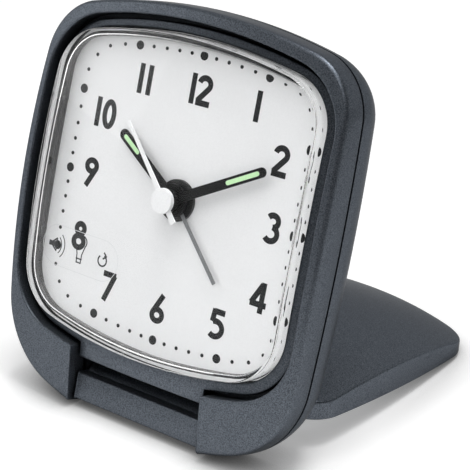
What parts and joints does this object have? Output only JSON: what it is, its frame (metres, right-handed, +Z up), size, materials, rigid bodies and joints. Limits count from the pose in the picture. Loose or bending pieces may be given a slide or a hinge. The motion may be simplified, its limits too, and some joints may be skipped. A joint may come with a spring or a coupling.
{
  "type": "folding travel alarm clock",
  "caption": "Square quartz travel alarm clock with a domed clear lens; its hinged lens cover folds round behind the case as the stand.",
  "frame": {"origin": "on the floor under the middle of the bounding box, with the cover folded back as the stand", "axes": "+Z up, +X to the viewer's right, the dial faces -Y and leans back by about 16 degrees"},
  "size_m": [0.0664, 0.0708, 0.0726],
  "materials": {
    "case_plastic": "pearl grey moulded plastic, satin gloss",
    "clear_plastic": "clear moulded acrylic, polished",
    "dial_white": "white printed dial card",
    "black_plastic": "black plastic, glossy",
    "hand_black": "black lacquer on thin aluminium",
    "hand_grey": "grey lacquer on thin aluminium",
    "hand_white": "white lacquer on thin aluminium",
    "lume_paint": "pale green luminous paint",
    "steel": "plain bright steel",
    "brass": "turned brass",
    "gear_plastic": "natural white moulded plastic",
    "copper_wire": "lacquered copper wire",
    "board": "green circuit board",
    "battery_jacket": "plain dark grey battery jacket",
    "magnet": "dark sintered magnet with plastic pinion"
  },
  "bodies": {
    "case": {"front_bezel": "case_plastic", "rear_shell": "case_plastic", "hinge_pin": "steel", "case_screws": "steel", "lens_springs": "steel", "lens_contact": "steel", "dial": "dial_white", "dial_bush": "black_plastic", "movement_front_plate": "gear_plastic", "movement_back_plate": "gear_plastic", "movement_screws": "steel", "stator": "steel", "coil_core": "steel", "coil": "copper_wire", "circuit_board": "board", "chip": "black_plastic", "quartz_can": "steel", "lamp": "clear_plastic", "buzzer": "brass", "battery": "battery_jacket", "battery_contact_minus": "steel", "battery_contact_plus": "steel"},
    "cover": {"stand_cover": "case_plastic"},
    "lens_button": {"lens": "clear_plastic"},
    "minute": {"minute_hand": "hand_black", "minute_lume": "lume_paint", "cannon_pinion": "gear_plastic"},
    "hour": {"hour_hand": "hand_black", "hour_lume": "lume_paint", "hour_wheel": "gear_plastic"},
    "motion": {"motion_wheel": "gear_plastic"},
    "time_setter": {"time_knob": "black_plastic"},
    "alarm": {"alarm_hand": "hand_grey", "alarm_wheel": "gear_plastic"},
    "alarm_setter": {"alarm_knob": "black_plastic"},
    "rotor": {"rotor": "magnet"},
    "idler": {"idler_wheel": "gear_plastic"},
    "second": {"second_hand": "hand_white", "second_wheel": "gear_plastic"},
    "third": {"third_wheel": "gear_plastic"},
    "minute_drive": {"minute_wheel": "gear_plastic"},
    "door": {"battery_door": "case_plastic"},
    "switch": {"alarm_switch": "black_plastic"}
  },
  "joints": [
    {"name": "cover_hinge", "type": "hinge", "parent": "case", "child": "cover", "pos_m": [0, -0.03217, 0.00356], "axis": [1, 0, 0], "range_deg": [-280.2, 0]},
    {"name": "lens_press", "type": "slide", "parent": "case", "child": "lens_button", "axis": [0, 0.9606, -0.278], "range_m": [0, 0.0008], "stiffness_N_per_m": 400, "springref_m": -0.002, "deforming": ["lens_springs"]},
    {"name": "minute_turn", "type": "hinge", "parent": "case", "child": "minute", "pos_m": [0, -0.02184, 0.03982], "axis": [0, -0.9606, 0.278], "continuous": true},
    {"name": "hour_turn", "type": "hinge", "parent": "case", "child": "hour", "pos_m": [0, -0.02184, 0.03982], "axis": [0, -0.9606, 0.278], "continuous": true},
    {"name": "motion_turn", "type": "hinge", "parent": "case", "child": "motion", "pos_m": [-0.00433, -0.02115, 0.04222], "axis": [0, -0.9606, 0.278], "continuous": true},
    {"name": "time_knob_turn", "type": "hinge", "parent": "case", "child": "time_setter", "pos_m": [-0.00888, -0.02042, 0.04474], "axis": [0, -0.9606, 0.278], "continuous": true},
    {"name": "alarm_turn", "type": "hinge", "parent": "case", "child": "alarm", "pos_m": [0, -0.02184, 0.03982], "axis": [0, -0.9606, 0.278], "continuous": true},
    {"name": "alarm_knob_turn", "type": "hinge", "parent": "case", "child": "alarm_setter", "pos_m": [0.00695, -0.02132, 0.04161], "axis": [0, -0.9606, 0.278], "continuous": true},
    {"name": "rotor_turn", "type": "hinge", "parent": "case", "child": "rotor", "pos_m": [-0.00579, -0.02376, 0.0332], "axis": [0, -0.9606, 0.278], "continuous": true},
    {"name": "idler_turn", "type": "hinge", "parent": "case", "child": "idler", "pos_m": [-0.00309, -0.02286, 0.03629], "axis": [0, -0.9606, 0.278], "continuous": true},
    {"name": "second_turn", "type": "hinge", "parent": "case", "child": "second", "pos_m": [0, -0.02184, 0.03982], "axis": [0, -0.9606, 0.278], "continuous": true},
    {"name": "third_turn", "type": "hinge", "parent": "case", "child": "third", "pos_m": [0.0034, -0.02348, 0.03416], "axis": [0, -0.9606, 0.278], "continuous": true},
    {"name": "minute_drive_turn", "type": "hinge", "parent": "case", "child": "minute_drive", "pos_m": [0, -0.02184, 0.03982], "axis": [0, -0.9606, 0.278], "continuous": true},
    {"name": "door_slide", "type": "slide", "parent": "case", "child": "door", "axis": [0, 0.278, 0.9606], "range_m": [0, 0.012]},
    {"name": "switch_slide", "type": "slide", "parent": "case", "child": "switch", "axis": [1, 0, 0], "range_m": [0, 0.004]}
  ],
  "couplings": [
    {"joint": "hour_turn", "follows": "minute_turn", "ratio": 0.083333},
    {"joint": "motion_turn", "follows": "minute_turn", "ratio": -0.33333},
    {"joint": "time_knob_turn", "follows": "minute_turn", "ratio": 0.83333},
    {"joint": "alarm_knob_turn", "follows": "alarm_turn", "ratio": -1},
    {"joint": "idler_turn", "follows": "rotor_turn", "ratio": -0.16667},
    {"joint": "second_turn", "follows": "rotor_turn", "ratio": 0.033333},
    {"joint": "third_turn", "follows": "rotor_turn", "ratio": -0.0044444},
    {"joint": "minute_drive_turn", "follows": "rotor_turn", "ratio": 0.00055556}
  ]
}
